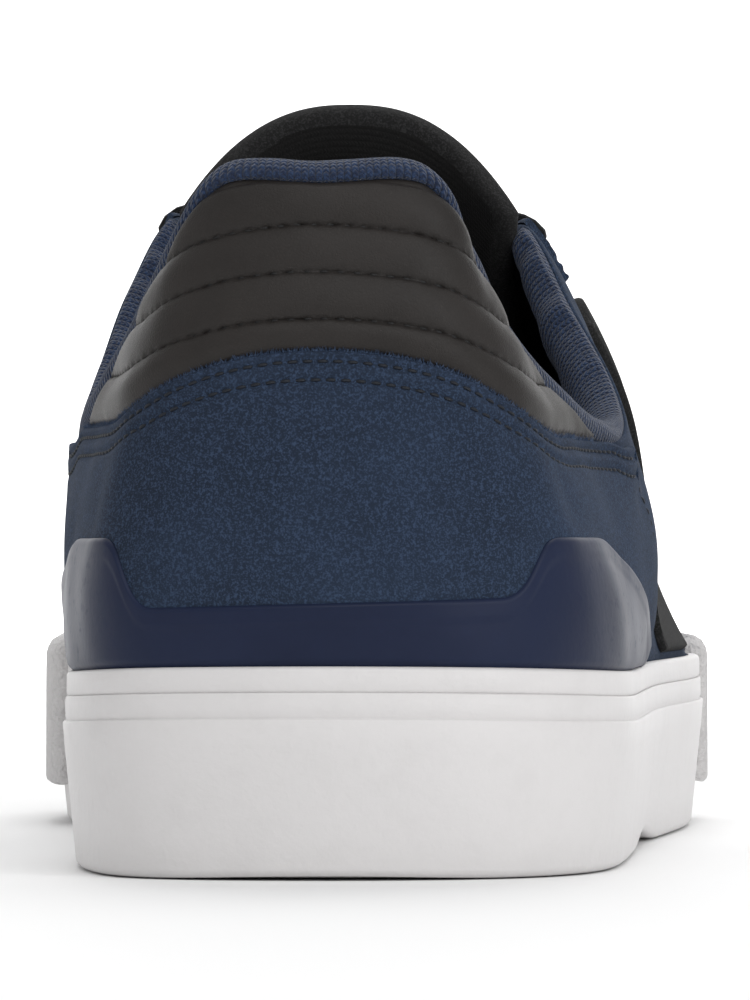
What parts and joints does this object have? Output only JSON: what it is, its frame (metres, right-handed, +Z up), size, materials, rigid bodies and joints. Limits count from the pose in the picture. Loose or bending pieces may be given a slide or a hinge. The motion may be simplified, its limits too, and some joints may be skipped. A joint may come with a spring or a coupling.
{
  "type": "skate shoe",
  "caption": "Low lace-up skate shoe for the right foot: suede shell, quilted heel collar, moulded heel guard, flat cup sole and free-standing tongue.",
  "frame": {"origin": "on the floor, under the middle of the whole shoe's box", "axes": "+Y from heel to toe, +X to the outer side of the foot, +Z up"},
  "size_m": [0.1094, 0.3002, 0.1139],
  "materials": {
    "white_rubber": "smooth, slightly satin",
    "rough_rubber": "fine rough grain",
    "navy_suede": "napped suede",
    "black_suede": "napped suede",
    "navy_knit": "ribbed knit",
    "black_leather": "smooth leather, soft sheen",
    "navy_rubber": "moulded, semi-gloss",
    "dark_cloth": "plain cloth",
    "lace_cloth": "flat woven lace"
  },
  "bodies": {
    "root": {"outsole": "white_rubber", "foxing": "white_rubber", "toe_bumper": "rough_rubber", "insole": "dark_cloth", "upper": "navy_suede", "collar_lining": "navy_knit", "tongue": "black_suede", "heel_panel": "black_leather", "heel_counter": "navy_suede", "heel_piece": "navy_rubber", "side_panel_lateral": "black_suede", "side_panel_medial": "black_suede", "eyestay": "navy_suede", "toe_cap": "navy_suede", "laces": "lace_cloth"}
  },
  "joints": []
}
